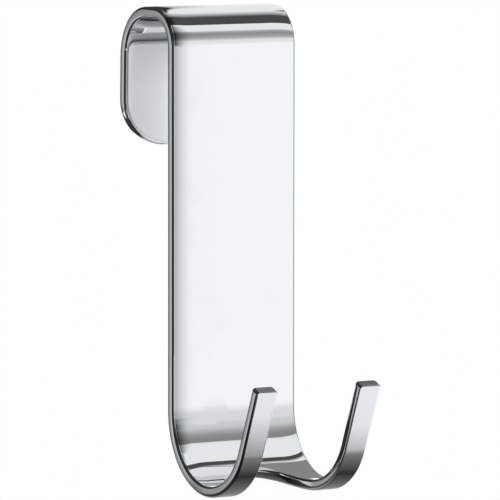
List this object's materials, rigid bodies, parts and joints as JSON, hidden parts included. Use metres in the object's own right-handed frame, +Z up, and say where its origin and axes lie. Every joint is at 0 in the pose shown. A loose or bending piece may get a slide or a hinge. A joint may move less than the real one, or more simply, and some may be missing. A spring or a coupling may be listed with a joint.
{
  "type": "shower door hook",
  "caption": "Bent chrome strip that hangs over the top edge of a glass shower door and ends in a cradle with leaning arms for towels or robes; soft pads face the glass.",
  "frame": {"origin": "middle of the glass door's top edge, on the underside of the crown, centred across the strip", "axes": "+Z up, -Y towards the front of the plate and the arms, +X across the strip"},
  "size_m": [0.025, 0.0499, 0.0849],
  "materials": {
    "bright_chrome": "mirror-polished chrome plate",
    "pale_silicone": "translucent pale silicone, satin"
  },
  "bodies": {
    "root": {"hook_body": "bright_chrome", "tongue_pad": "pale_silicone", "plate_pad": "pale_silicone", "foot_pad": "pale_silicone"}
  },
  "joints": []
}
